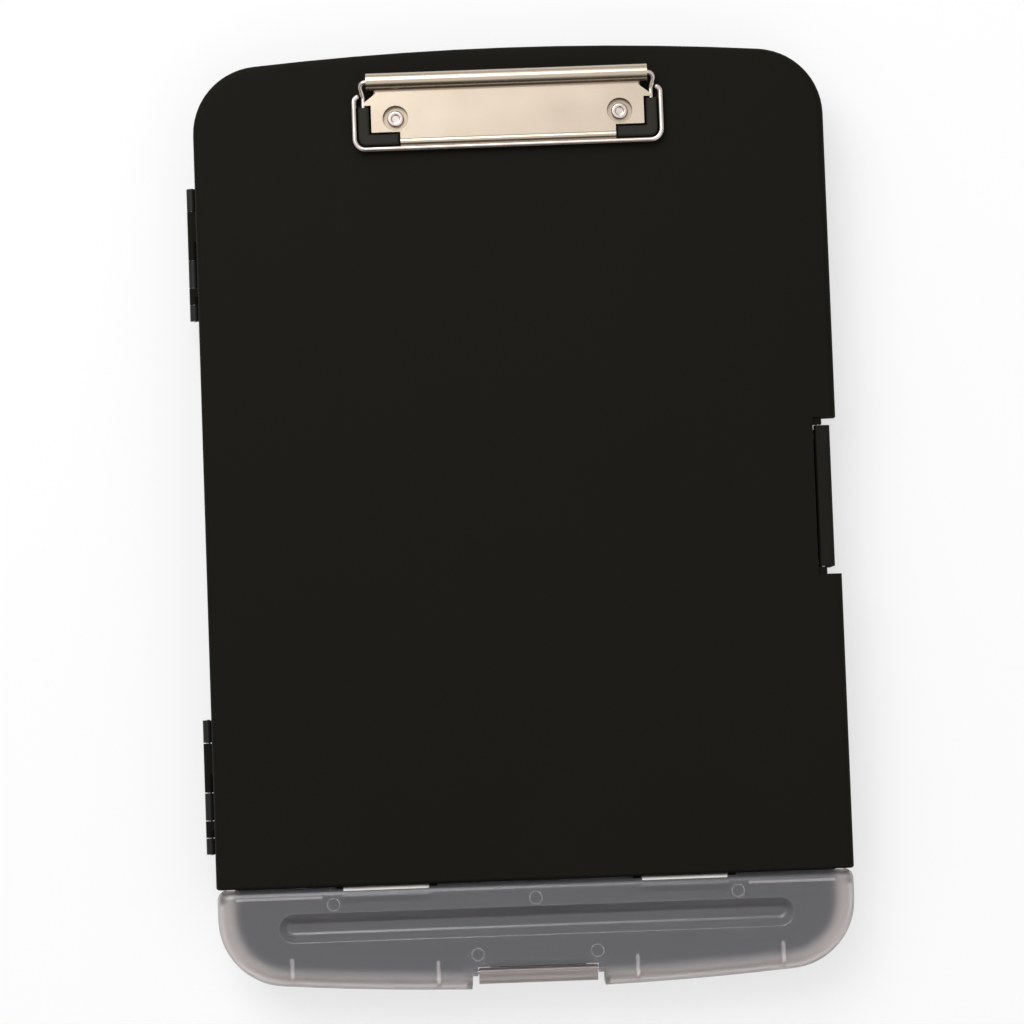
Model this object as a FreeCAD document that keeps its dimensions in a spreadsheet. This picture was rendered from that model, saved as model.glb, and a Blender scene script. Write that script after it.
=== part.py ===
import FreeCAD, Part
import math
import os
from types import SimpleNamespace

import Sketcher
from FreeCAD import Placement, Rotation, Vector

# Storage clipboard box, in millimetres. X runs to the right, Y from the pen compartment to the clip
# and Z up. The origin is the middle of the tray's underside, so the case lies on Z = 0.

SIZES = {
    # Outline of the closed case, seen from above. Its two ends are bowed.
    "half_width": 116.0,
    "half_length": 172.5,
    "end_radius": 1131.0,
    "corner_radius": 25.0,
    # Heights and walls of the paper tray and the board lid.
    "pen_part_length": 39.6,
    "tray_height": 16.0,
    "tray_floor": 2.0,
    "tray_round": 1.5,
    "case_wall": 2.0,
    "seam_gap": 0.3,
    "case_height": 26.0,
    "board_panel": 2.2,
    "board_round": 2.5,
    "board_front_round": 1.0,
    # Lip on the tray's rim, which keeps the board lid in line.
    "lip_wall": 1.1,
    "lip_rise": 1.8,
    "lip_root": 2.0,
    "lip_bite": 0.5,
    # Pen tray, set back under the skirt of its lid.
    "pen_inset": 6.0,
    "pen_wall": 1.8,
    "pen_tray_height": 15.0,
    # Side hinges: five arms and four windows each, from the rear end to the front end.
    "hinge_rear_in": 47.4,
    "lower_hinge_in": 101.4,
    "hinge_out": 2.0,
    "knuckle_radius": 1.8,
    "knuckle_one": 4.4,
    "knuckle_two": 11.3,
    "knuckle_three": 8.4,
    "knuckle_four": 3.3,
    "knuckle_five": 5.8,
    "window_one": 4.1,
    "window_two": 6.9,
    "window_three": 1.8,
    "window_four": 3.0,
    # Pins and their holes.
    "pin_radius": 0.9,
    "pin_proud": 0.25,
    "pin_chamfer": 0.2,
    "press_fit": 0.02,
    "running_fit": 0.05,
    "side_gap": 0.3,
    # Flap latches, the same section on the side and in front.
    "latch_pivot_in": 6.7,
    "latch_pivot_down": 2.6,
    "latch_barrel": 1.5,
    "latch_pin_radius": 0.75,
    "latch_face_in": 2.3,
    "latch_wall": 2.2,
    "latch_nose": 2.1,
    "nose_height": 2.3,
    "nose_lead": 1.1,
    "latch_round": 1.6,
    "catch_in": 5.6,
    "catch_bottom": 6.0,
    "catch_thickness": 2.0,
    "catch_side_in": 4.0,
    "curtain_in": 8.6,
    "curtain_wall": 1.4,
    "cheek_wall": 1.6,
    "cheek_gap": 0.8,
    "side_latch_middle": 2.9,
    "side_recess_half": 28.7,
    "side_latch_half": 25.75,
    "side_wall_in": 10.0,
    "pen_recess_half": 24.3,
    "pen_latch_half": 21.6,
    "pen_front_in": 10.5,
    # Pen lid.
    "pen_lid_gap": 0.4,
    "pen_lid_top": 25.4,
    "pen_lid_bottom": 0.8,
    "pen_panel": 1.4,
    "pen_skirt": 1.6,
    "pen_round": 5.0,
    "pen_barrel": 3.4,
    "pen_barrel_start": 38.6,
    "pen_barrel_side": 46.0,
    "back_curl_wall": 1.4,
    "post_width": 2.4,
    "post_head": 1.7,
    "post_stem_half": 0.9,
    "back_strip_far": 39.0,
    "back_strip_near": 6.5,
    "back_strip_in": 2.7,
    "back_strip_wall": 1.4,
    "back_strip_bottom": 16.6,
    "groove_in": 24.8,
    "groove_side": 22.5,
    "groove_width": 10.2,
    "groove_floor_width": 4.4,
    "groove_depth": 3.5,
    "groove_skin": 0.5,
    "groove_floor_round": 2.4,
    "groove_rim_round": 0.6,
    "gusset_wall": 1.5,
    "outer_gusset_side": 26.8,
    "outer_gusset_in": 14.2,
    "inner_gusset_place": 36.2,
    "inner_gusset_in": 11.5,
    "mould_ring_radius": 2.5,
    "mould_ring_width": 0.6,
    "mould_ring_depth": 0.3,
    "rear_ring_side": 42.5,
    "rear_ring_in": 6.2,
    "front_ring_place": 21.7,
    "front_ring_in": 13.2,
    # Board clip: axle of the jaw, base plate and rivets. Places ahead are in front of the axle, and
    # places short or past are inside or outside the base plate's ends.
    "clip_axle_in": 12.4,
    "clip_axle_rise": 4.4,
    "wire_radius": 0.9,
    "sheet": 1.0,
    "base_plate_half": 49.0,
    "base_plate_ahead": 17.7,
    "curl_radius": 1.8,
    "curl_half": 8.0,
    "curl_short": 13.0,
    "rivet_short": 7.9,
    "rivet_ahead": 13.5,
    "rivet_radius": 2.0,
    "rivet_head_radius": 3.0,
    "rivet_head_height": 1.6,
    "rivet_bore": 0.95,
    "rivet_dimple": 1.5,
    "rivet_dimple_depth": 0.8,
    "rivet_dimple_round": 0.3,
    "rivet_tail_radius": 2.9,
    "rivet_tail_height": 0.9,
    "rivet_round": 0.6,
    "washer_radius": 4.0,
    "washer_thickness": 0.8,
    # Board clip: lever plate.
    "lever_sheet": 0.9,
    "lever_rise": 2.7,
    "ridge_radius": 3.3,
    "ridge_past": 2.5,
    "ridge_cap": 1.2,
    "ridge_cap_radius": 2.6,
    "lever_neck_short": 0.6,
    "lever_neck_ahead": 4.3,
    "lever_shoulder_past": 3.8,
    "lever_shoulder_ahead": 8.5,
    "lever_body_past": 1.0,
    "lever_body_ahead": 18.5,
    "lever_tongue_short": 9.5,
    "lever_hole": 4.7,
    "hem_radius": 1.8,
    "hem_wall": 0.8,
    "hem_behind_wire": 2.4,
    # Board clip: frame wire and rubber corners.
    "frame_wire": 1.0,
    "frame_past": 7.3,
    "frame_ahead": 24.4,
    "frame_end_ahead": 4.8,
    "frame_rise": 2.15,
    "frame_corner": 4.0,
    "frame_hook": 2.1,
    "frame_tip": 0.8,
    "grip_past": 1.8,
    "grip_width": 4.0,
    "grip_end_ahead": 8.9,
    "grip_ahead": 23.0,
    "grip_height": 2.9,
    "grip_gap": 0.3,
    "grip_round": 1.0,
    "grip_short": 9.0,
    "grip_corner": 2.6,
    "grip_bend": 2.2,
    "spring_bend": 2.0,
    "spring_tail_short": 6.0,
    "spring_out": 1.5,
    "spring_run_ahead": 5.3,
    # How far a cut runs past the surface that it opens.
    "overrun": 5.0,
}


class Length:
    """A size of the sheet, or a sum of such sizes, with the formula that binds a feature to it."""

    def __init__(self, formula, number):
        self.formula = formula
        self.number = number

    def __add__(self, other):
        return Length(f"({self.formula} + {formula(other)})", self.number + number(other))

    def __sub__(self, other):
        return Length(f"({self.formula} - {formula(other)})", self.number - number(other))

    def __rsub__(self, other):
        return Length(f"({formula(other)} - {self.formula})", number(other) - self.number)

    def __neg__(self):
        return Length(f"(-1 * {self.formula})", -self.number)

    def __mul__(self, other):
        return Length(f"({self.formula} * {formula(other)})", self.number * number(other))

    def __truediv__(self, other):
        return Length(f"({self.formula} / {formula(other)})", self.number / number(other))

    __radd__ = __add__
    __rmul__ = __mul__


def formula(size):
    return size.formula if isinstance(size, Length) else str(size)


def number(size):
    return size.number if isinstance(size, Length) else size


def read_sizes(doc):
    """The spreadsheet with every driving size, and those sizes under their names."""
    sheet = doc.addObject("Spreadsheet::Sheet", "Sizes")
    for row, (name, value) in enumerate(SIZES.items(), start=1):
        sheet.set(f"A{row}", name)
        sheet.set(f"B{row}", str(value))
        sheet.setAlias(f"B{row}", name)
    doc.recompute()
    return SimpleNamespace(**{name: Length(f"Sizes.{name}", sheet.get(name)) for name in SIZES})


def add_case_places(s):
    """Places on the case and its lids that follow from its ends and its sides."""
    s.board_front = s.half_length - s.pen_part_length
    s.hinge_rear = s.half_length - s.hinge_rear_in
    s.lower_hinge_rear = s.lower_hinge_in - s.half_length
    s.pen_lid_back = s.board_front + s.pen_lid_gap
    s.pen_barrel_end = s.half_width - s.pen_barrel_side
    s.back_strip_start = s.half_width - s.back_strip_far
    s.back_strip_end = s.half_width - s.back_strip_near
    s.groove_middle = s.half_length - s.groove_in
    s.groove_half_length = s.half_width - s.groove_side
    s.outer_gusset_place = s.half_width - s.outer_gusset_side
    s.outer_gusset_back = s.half_length - s.outer_gusset_in
    s.inner_gusset_back = s.half_length - s.inner_gusset_in
    s.rear_ring_place = s.half_width - s.rear_ring_side
    s.rear_ring_back = s.pen_lid_back + s.rear_ring_in
    s.front_ring_back = s.half_length - s.front_ring_in


def add_clip_places(s):
    """Places on the clip that follow from the jaw's axle and from the base plate's ends."""
    s.clip_axle_back = s.half_length - s.clip_axle_in
    s.base_plate_front = s.clip_axle_back - s.base_plate_ahead
    s.rivet_back = s.clip_axle_back - s.rivet_ahead
    s.lever_shoulder_back = s.clip_axle_back - s.lever_neck_ahead
    s.lever_shoulder_front = s.clip_axle_back - s.lever_shoulder_ahead
    s.lever_body_front = s.clip_axle_back - s.lever_body_ahead
    s.frame_front = s.clip_axle_back - s.frame_ahead
    s.frame_rear = s.clip_axle_back - s.frame_end_ahead
    s.hem_back = s.frame_front + s.hem_behind_wire
    s.grip_rear = s.clip_axle_back - s.grip_end_ahead
    s.grip_front = s.clip_axle_back - s.grip_ahead
    s.spring_run_back = s.clip_axle_back - s.spring_run_ahead
    s.curl_place = s.base_plate_half - s.curl_short
    s.rivet_place = s.base_plate_half - s.rivet_short
    s.ridge_half = s.base_plate_half + s.ridge_past
    s.lever_neck_half = s.base_plate_half - s.lever_neck_short
    s.lever_shoulder_half = s.base_plate_half + s.lever_shoulder_past
    s.lever_body_half = s.base_plate_half + s.lever_body_past
    s.lever_tongue_half = s.base_plate_half - s.lever_tongue_short
    s.frame_half = s.base_plate_half + s.frame_past
    s.grip_inner = s.base_plate_half + s.grip_past
    s.grip_end = s.base_plate_half - s.grip_short
    s.spring_tail = s.base_plate_half - s.spring_tail_short


def bind(feature, name, size):
    feature.setExpression(name, formula(size))


def new_body(doc, name, x=0, y=0, z=0):
    """An empty sub-part whose own origin stands at this place."""
    body = doc.addObject("PartDesign::Body", name)
    body.Label = name
    for letter, place in zip("xyz", (x, y, z)):
        bind(body, f"Placement.Base.{letter}", place)
    return body


def attached(body, kind, name, role="XY_Plane"):
    """A new feature of the body on one of its origin planes."""
    made = body.newObject(kind, name)
    ground = next(item for item in body.Origin.OriginFeatures if item.Role == role)
    made.AttachmentSupport = (ground, "")
    made.MapMode = "FlatFace"
    return made


def block(body, name, x, y, z, cut=False):
    """A box between two planes each way, added to the body or cut from it."""
    kind = "PartDesign::SubtractiveBox" if cut else "PartDesign::AdditiveBox"
    made = attached(body, kind, name)
    for side, letter, (low, high) in zip(("Length", "Width", "Height"), "xyz", (x, y, z)):
        bind(made, side, high - low)
        bind(made, f"AttachmentOffset.Base.{letter}", low)
    return made


TURNS = {
    "x": Rotation(Vector(0, 1, 0), 90),
    "y": Rotation(Vector(1, 0, 0), -90),
    "z": Rotation(),
}


def rod(body, name, along, span, across, radius, cut=False):
    """A cylinder along one axis, added to the body or cut from it."""
    kind = "PartDesign::SubtractiveCylinder" if cut else "PartDesign::AdditiveCylinder"
    made = attached(body, kind, name)
    made.AttachmentOffset = Placement(Vector(), TURNS[along])
    bind(made, "Radius", radius)
    bind(made, "Height", span[1] - span[0])
    places = dict(zip([letter for letter in "xyz" if letter != along], across))
    places[along] = span[0]
    for letter, place in places.items():
        bind(made, f"AttachmentOffset.Base.{letter}", place)
    return made


def sketch(body, name, role, offset):
    """An empty drawing on an origin plane, moved along that plane's normal."""
    made = attached(body, "Sketcher::SketchObject", name, role)
    bind(made, "AttachmentOffset.Base.z", offset)
    return made


def measure(drawing, kind, *where, size):
    """A constraint of the drawing, bound to its size."""
    index = drawing.addConstraint(Sketcher.Constraint(kind, *where, number(size)))
    bind(drawing, f"Constraints[{index}]", size)


def place(drawing, edge, end, x, y):
    """Holds one point of an edge at a place measured from the drawing's origin."""
    measure(drawing, "DistanceX", -1, 1, edge, end, size=x)
    measure(drawing, "DistanceY", -1, 1, edge, end, size=y)


def link(drawing, kind, *where):
    drawing.addConstraint(Sketcher.Constraint(kind, *where))


def flat(x, y):
    return Vector(number(x), number(y), 0)


def ring(drawing, x, y, radius):
    edge = drawing.addGeometry(Part.Circle(flat(x, y), Vector(0, 0, 1), number(radius)))
    place(drawing, edge, 3, x, y)
    measure(drawing, "Radius", edge, size=radius)


def polygon(drawing, points):
    first = drawing.GeometryCount
    count = len(points)
    for index in range(count):
        drawing.addGeometry(Part.LineSegment(flat(*points[index]), flat(*points[(index + 1) % count])))
    for index, (x, y) in enumerate(points):
        link(drawing, "Coincident", first + index, 2, first + (index + 1) % count, 1)
        place(drawing, first + index, 1, x, y)


def slabs(body, name, places, heights, cut=False):
    """Boxes of one height, each over its own span of X and of Y, raised or cut as one feature."""
    drawing = sketch(body, f"{name}_plan", "XY_Plane", heights[0])
    for (left, right), (front, rear) in places:
        polygon(drawing, [(left, front), (right, front), (right, rear), (left, rear)])
    return extrude(body, name, drawing, heights[1] - heights[0], cut)


def holes(body, name, places, radius, heights):
    """Round holes of one size, up through the body at each place."""
    drawing = sketch(body, f"{name}_plan", "XY_Plane", heights[0])
    for x, y in places:
        ring(drawing, x, y, radius)
    return extrude(body, name, drawing, heights[1] - heights[0], cut=True)


def turned(body, name, along, axis, radius, spans):
    """Cylinders of one radius on one line along X or Y, one for each span."""
    across = "y" if along == "x" else "x"
    drawing = sketch(body, f"{name}_profile", "XY_Plane", axis[1])
    bind(drawing, f"AttachmentOffset.Base.{across}", axis[0])
    for low, high in spans:
        points = [(low, 0), (high, 0), (high, radius), (low, radius)]
        polygon(drawing, [point if along == "x" else point[::-1] for point in points])
    made = body.newObject("PartDesign::Revolution", name)
    made.Profile = drawing
    made.ReferenceAxis = (drawing, ["H_Axis" if along == "x" else "V_Axis"])
    return made


def arc(x, y, radius, start, end):
    circle = Part.Circle(flat(x, y), Vector(0, 0, 1), number(radius))
    return Part.ArcOfCircle(circle, start, end)


def outline(drawing, inset, straight, end):
    """The case's outline, moved in by inset, from a straight line across it to its rear end (1)
    or its front end (-1): two sides, two corners and the bow."""
    side = s.half_width - inset
    bow_radius = s.end_radius - inset
    corner_radius = s.corner_radius - inset
    bow_y = end * (s.half_length - s.end_radius)
    corner_x = number(s.half_width - s.corner_radius)
    reach = number(s.end_radius - s.corner_radius)
    turn = math.acos(corner_x / reach)
    corner_y = number(bow_y) + end * reach * math.sin(turn)
    turns = [0, turn, math.pi - turn, math.pi]
    if end < 0:
        turns = [-angle for angle in turns]
    right, bow, left = (sorted(turns[index : index + 2]) for index in range(3))
    base = drawing.addGeometry(Part.LineSegment(flat(-side, straight), flat(side, straight)))
    right_side = drawing.addGeometry(Part.LineSegment(flat(side, straight), flat(side, corner_y)))
    right_corner = drawing.addGeometry(arc(corner_x, corner_y, corner_radius, *right))
    bow_edge = drawing.addGeometry(arc(0, bow_y, bow_radius, *bow))
    left_corner = drawing.addGeometry(arc(-corner_x, corner_y, corner_radius, *left))
    left_side = drawing.addGeometry(Part.LineSegment(flat(-side, corner_y), flat(-side, straight)))
    near, far = (1, 2) if end > 0 else (2, 1)
    link(drawing, "Coincident", base, 2, right_side, 1)
    link(drawing, "Coincident", left_side, 2, base, 1)
    link(drawing, "Horizontal", base)
    link(drawing, "Vertical", right_side)
    link(drawing, "Vertical", left_side)
    link(drawing, "Tangent", right_side, 2, right_corner, near)
    link(drawing, "Tangent", right_corner, far, bow_edge, near)
    link(drawing, "Tangent", bow_edge, far, left_corner, near)
    link(drawing, "Tangent", left_corner, far, left_side, 1)
    place(drawing, base, 1, -side, straight)
    measure(drawing, "DistanceX", -1, 1, base, 2, size=side)
    place(drawing, bow_edge, 3, 0, bow_y)
    measure(drawing, "Radius", bow_edge, size=bow_radius)
    measure(drawing, "Radius", right_corner, size=corner_radius)
    measure(drawing, "Radius", left_corner, size=corner_radius)


def slot(drawing, middle, half_length, half_width):
    """A slot along X with round ends, whose ends' centres lie at plus and minus half_length."""
    right = drawing.addGeometry(arc(half_length, middle, half_width, -math.pi / 2, math.pi / 2))
    left = drawing.addGeometry(arc(-half_length, middle, half_width, math.pi / 2, 3 * math.pi / 2))
    rear_y, front_y = middle + half_width, middle - half_width
    rear = drawing.addGeometry(Part.LineSegment(flat(half_length, rear_y), flat(-half_length, rear_y)))
    front = drawing.addGeometry(Part.LineSegment(flat(-half_length, front_y), flat(half_length, front_y)))
    link(drawing, "Tangent", right, 2, rear, 1)
    link(drawing, "Tangent", rear, 2, left, 1)
    link(drawing, "Tangent", left, 2, front, 1)
    link(drawing, "Tangent", front, 2, right, 1)
    place(drawing, right, 3, half_length, middle)
    place(drawing, left, 3, -half_length, middle)
    measure(drawing, "Radius", right, size=half_width)


def extrude(body, name, drawing, length, cut=False):
    """Raises the drawing along its plane's normal, as a pad or as a pocket."""
    made = body.newObject("PartDesign::Pocket" if cut else "PartDesign::Pad", name)
    made.Profile = drawing
    made.Reversed = cut
    bind(made, "Length", length)
    return made


def loft(body, name, lower, upper, cut=False):
    made = body.newObject("PartDesign::SubtractiveLoft" if cut else "PartDesign::AdditiveLoft", name)
    made.Profile = lower
    made.Sections = [upper]
    made.Ruled = True
    return made


def pipe(body, name, section, route, cut=False):
    made = body.newObject("PartDesign::SubtractivePipe" if cut else "PartDesign::AdditivePipe", name)
    made.Profile = section
    made.Spine = (route, [f"Edge{index + 1}" for index in range(route.GeometryCount)])
    return made


def soften(body, name, size, chosen, kind="Fillet"):
    """Rounds or chamfers the edges of the solid so far that the test picks."""
    body.Document.recompute()
    base = body.Tip
    edges = [f"Edge{index}" for index, edge in enumerate(base.Shape.Edges, 1) if chosen(edge)]
    made = body.newObject(f"PartDesign::{kind}", name)
    made.Base = (base, edges)
    bind(made, "Radius" if kind == "Fillet" else "Size", size)
    return made


NEAR = 1e-3


def lies(edge, axis, size):
    """Does the whole edge lie at this place along the axis?"""
    low, high = (getattr(edge.BoundBox, f"{axis}{word}") for word in ("Min", "Max"))
    return abs(low - number(size)) < NEAR and abs(high - number(size)) < NEAR


def within(edge, axis, span):
    """Does the whole edge lie between these two places along the axis?"""
    low, high = (getattr(edge.BoundBox, f"{axis}{word}") for word in ("Min", "Max"))
    return low > number(span[0]) - NEAR and high < number(span[1]) + NEAR


def both_ways(size, middle=0):
    return (middle - size, middle + size)


def mirrored(span, side):
    """A span of X on the right side (1), or its mirror on the left side (-1)."""
    return span if side > 0 else (-span[1], -span[0])


SIDES = {"left": -1, "right": 1}


def hinge_spans(rear):
    """Where the five arms and the five knuckles of a side hinge lie along Y, from its rear end.
    Each knuckle is longer than its arm by the window in front of it, less the running gap."""
    lengths = (s.knuckle_one, s.knuckle_two, s.knuckle_three, s.knuckle_four, s.knuckle_five)
    windows = (s.window_one, s.window_two, s.window_three, s.window_four, s.side_gap)
    arms, knuckles = [], []
    for length, window in zip(lengths, windows):
        arms.append((rear - length, rear))
        knuckles.append((rear - length - window + s.side_gap, rear))
        rear = rear - length - window
    return arms, knuckles


def side_hinges():
    return {"upper": hinge_spans(s.hinge_rear), "lower": hinge_spans(s.lower_hinge_rear)}


def side_axis():
    """X and Z of the board lid's hinge axis."""
    return (-s.half_width - s.hinge_out, s.tray_height + s.seam_gap / 2)


def add_side_knuckles(body, chosen, arm, bore):
    """The knuckles that one half of each side hinge has, on flat arms from the case's left wall."""
    axis = side_axis()
    root = s.case_wall / 2 - s.half_width
    hinges = side_hinges()
    arms = [hinge[0][index] for hinge in hinges.values() for index in chosen]
    knuckles = [hinge[1][index] for hinge in hinges.values() for index in chosen]
    slabs(body, "hinge_arms", [((axis[0], root), span) for span in arms], arm)
    turned(body, "knuckles", "y", axis, s.knuckle_radius, knuckles)
    ends = (hinges["lower"][0][-1][0], hinges["upper"][0][0][1])
    rod(body, "hinge_bore", "y", ends, axis, bore, cut=True)


def make_base_tray(doc):
    body = new_body(doc, "base_tray")
    front = -s.board_front
    drawing = sketch(body, "paper_tray_outline", "XY_Plane", 0)
    outline(drawing, 0, front, 1)
    extrude(body, "paper_tray_block", drawing, s.tray_height)
    soften(body, "paper_tray_foot", s.tray_round,
           lambda edge: lies(edge, "Z", 0) and not lies(edge, "Y", front))
    drawing = sketch(body, "paper_hollow_outline", "XY_Plane", s.tray_floor)
    outline(drawing, s.case_wall, front + s.case_wall, 1)
    extrude(body, "paper_hollow", drawing, s.tray_height, cut=True)
    add_rim_lip(body)
    add_pen_tray(body)
    add_side_catch(body)
    add_pen_catch(body)
    add_pen_posts(body)
    arm = (s.tray_height + s.seam_gap / 2 - s.knuckle_radius, s.tray_height)
    add_side_knuckles(body, (0, 2, 4), arm, s.pin_radius + s.press_fit)
    return body


def add_rim_lip(body):
    """A lip inside the rim, rooted in the wall, that reaches up into the board lid."""
    outer = s.case_wall + s.side_gap
    inner = outer + s.lip_wall
    levels = {
        "lip_root": (s.case_wall - s.lip_bite, s.tray_height - s.lip_root, s.lip_root),
        "lip": (outer, s.tray_height, s.lip_rise),
    }
    for name, (outside, bottom, height) in levels.items():
        drawing = sketch(body, f"{name}_outline", "XY_Plane", bottom)
        outline(drawing, outside, outside - s.board_front, 1)
        outline(drawing, inner, inner - s.board_front, 1)
        extrude(body, name, drawing, height)


def add_pen_tray(body):
    drawing = sketch(body, "pen_tray_outline", "XY_Plane", 0)
    outline(drawing, s.pen_inset, s.case_wall / 2 - s.board_front, -1)
    extrude(body, "pen_tray_block", drawing, s.pen_tray_height)
    drawing = sketch(body, "pen_hollow_outline", "XY_Plane", s.tray_floor)
    outline(drawing, s.pen_inset + s.pen_wall, -s.board_front, -1)
    extrude(body, "pen_hollow", drawing, s.pen_tray_height - s.tray_floor, cut=True)


def add_side_catch(body):
    """The right wall steps in for the side latch and carries the ledge that its nose hooks under."""
    half = s.side_recess_half + s.cheek_wall + s.cheek_gap
    middle = s.side_latch_middle
    outer = s.half_width - s.side_wall_in
    heights = (s.tray_floor / 2, s.tray_height)
    block(body, "side_step", (outer - s.case_wall, s.half_width - s.case_wall),
          both_ways(half + s.case_wall, middle), heights)
    block(body, "side_notch", (outer, s.half_width + s.overrun), both_ways(half, middle),
          (-s.overrun, s.tray_height + s.overrun), cut=True)
    block(body, "side_catch", (outer - s.case_wall / 2, s.half_width - s.catch_in),
          both_ways(s.side_latch_half - s.catch_side_in, middle),
          (s.catch_bottom, s.catch_bottom + s.catch_thickness))


def add_pen_catch(body):
    """The pen tray's front wall steps in for the front latch and carries the ledge for its nose."""
    half = s.pen_recess_half + s.cheek_wall + s.cheek_gap
    outer = s.pen_front_in - s.half_length
    wall_middle = s.pen_inset + s.pen_wall / 2 - s.half_length
    block(body, "front_step", both_ways(half + s.pen_wall), (wall_middle, outer + s.pen_wall),
          (s.tray_floor / 2, s.pen_tray_height))
    block(body, "front_notch", both_ways(half), (-s.half_length, outer),
          (-s.overrun, s.pen_tray_height + s.overrun), cut=True)
    block(body, "front_catch", both_ways(s.pen_latch_half - s.catch_side_in),
          (s.catch_in - s.half_length, outer + s.pen_wall / 2),
          (s.catch_bottom, s.catch_bottom + s.catch_thickness))


def pen_axis():
    """Y and Z of the pen lid's hinge axis."""
    return (-s.pen_lid_back - s.pen_barrel, s.pen_lid_top - s.pen_barrel)


def post_spans():
    """X of the two ears beside the pen lid's right barrel: the inner one and the outer one."""
    inner = s.pen_barrel_start - s.side_gap
    outer = s.pen_barrel_end + s.side_gap
    return [(inner - s.post_width, inner), (outer, outer + s.post_width)]


def add_pen_posts(body):
    """Four ears in front of the divider that hold the pen lid's two pins."""
    axis_y, axis_z = pen_axis()
    foot = (axis_y - s.post_stem_half, s.case_wall / 2 - s.board_front)
    stem = both_ways(s.post_stem_half, axis_y)
    spans = [mirrored(span, side) for side in SIDES.values() for span in post_spans()]
    slabs(body, "post_feet", [(x, foot) for x in spans], (s.tray_floor / 2, s.tray_height))
    slabs(body, "post_stems", [(x, stem) for x in spans], (s.tray_height, axis_z))
    turned(body, "post_eyes", "x", pen_axis(), s.post_head, spans)
    rod(body, "post_bore", "x", both_ways(post_spans()[1][1]), pen_axis(),
        s.pin_radius + s.press_fit, cut=True)


def make_board_lid(doc):
    body = new_body(doc, "board_lid")
    front = -s.board_front
    rim = s.tray_height + s.seam_gap
    drawing = sketch(body, "board_outline", "XY_Plane", rim)
    outline(drawing, 0, front, 1)
    extrude(body, "board_block", drawing, s.case_height - rim)
    soften(body, "board_edge", s.board_round,
           lambda edge: lies(edge, "Z", s.case_height) and not lies(edge, "Y", front))
    soften(body, "board_front_edge", s.board_front_round,
           lambda edge: lies(edge, "Z", s.case_height) and lies(edge, "Y", front))
    drawing = sketch(body, "board_hollow_outline", "XY_Plane", rim)
    outline(drawing, s.case_wall, front + s.case_wall, 1)
    extrude(body, "board_hollow", drawing, s.case_height - s.board_panel - rim, cut=True)
    add_side_recess(body, rim)
    holes(body, "rivet_holes", rivet_places(), s.rivet_radius + s.running_fit,
          (rim, s.case_height + s.overrun))
    arm = (rim, s.tray_height + s.seam_gap / 2 + s.knuckle_radius)
    add_side_knuckles(body, (1, 3), arm, s.pin_radius + s.running_fit)
    return body


def rivet_places():
    return [(side * s.rivet_place, s.rivet_back) for side in SIDES.values()]


def side_pivot():
    """X and Z of the side latch's axis."""
    return (s.half_width - s.latch_pivot_in, s.case_height - s.latch_pivot_down)


def add_side_recess(body, rim):
    """The recess for the side latch: curtain wall, two cheeks and two ears with the pin's holes."""
    middle = s.side_latch_middle
    curtain = s.half_width - s.curtain_in
    pivot_x, pivot_z = side_pivot()
    block(body, "recess_block", (curtain - s.curtain_wall, s.half_width - s.case_wall),
          both_ways(s.side_recess_half + s.cheek_wall, middle), (rim, s.case_height - s.board_panel / 2))
    block(body, "recess", (curtain, s.half_width + s.overrun), both_ways(s.side_recess_half, middle),
          (rim - s.overrun, s.case_height + s.overrun), cut=True)
    ear = (s.side_latch_half + s.side_gap, s.side_recess_half + s.cheek_wall / 2)
    spans = [tuple(middle + y for y in mirrored(ear, side)) for side in SIDES.values()]
    slabs(body, "ears", [((curtain - s.curtain_wall / 2, pivot_x), y) for y in spans],
          both_ways(s.latch_barrel, pivot_z))
    turned(body, "ear_ends", "y", side_pivot(), s.latch_barrel, spans)
    rod(body, "ear_bore", "y", both_ways(s.side_recess_half, middle), (pivot_x, pivot_z),
        s.latch_pin_radius + s.press_fit, cut=True)


def flap_section(drawing, side, edge, top):
    """Section of a flap latch, seen along its pin: arm, hanging flap and hooked nose. Outward is
    side times the drawing's X, and edge is how far out the case's own edge lies."""
    face = edge - s.latch_face_in
    inner = face - s.latch_wall
    nose = inner - s.latch_nose
    pivot = edge - s.latch_pivot_in
    hook = s.catch_bottom - s.side_gap
    tip = hook - s.nose_height
    upper = top - s.latch_pivot_down + s.latch_barrel
    points = [
        (pivot, upper),
        (face, upper),
        (face, tip),
        (nose + s.nose_lead, tip),
        (nose, tip + s.nose_lead),
        (nose, hook),
        (inner, hook),
        (inner, upper - s.latch_wall),
        (pivot, upper - s.latch_wall),
    ]
    polygon(drawing, [(side * x, z) for x, z in points])


def make_side_latch(doc):
    body = new_body(doc, "side_latch")
    pivot_x, pivot_z = side_pivot()
    span = both_ways(s.side_latch_half, s.side_latch_middle)
    drawing = sketch(body, "flap_section", "XZ_Plane", -span[1])
    flap_section(drawing, 1, s.half_width, s.case_height)
    extrude(body, "flap", drawing, span[1] - span[0])
    soften(body, "flap_edge", s.latch_round,
           lambda edge: lies(edge, "X", s.half_width - s.latch_face_in)
           and lies(edge, "Z", pivot_z + s.latch_barrel))
    rod(body, "barrel", "y", span, (pivot_x, pivot_z), s.latch_barrel)
    rod(body, "bore", "y", span, (pivot_x, pivot_z), s.latch_pin_radius + s.running_fit, cut=True)
    return body


def pen_pivot():
    """Y and Z of the front latch's axis."""
    return (s.latch_pivot_in - s.half_length, s.pen_lid_top - s.latch_pivot_down)


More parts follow.
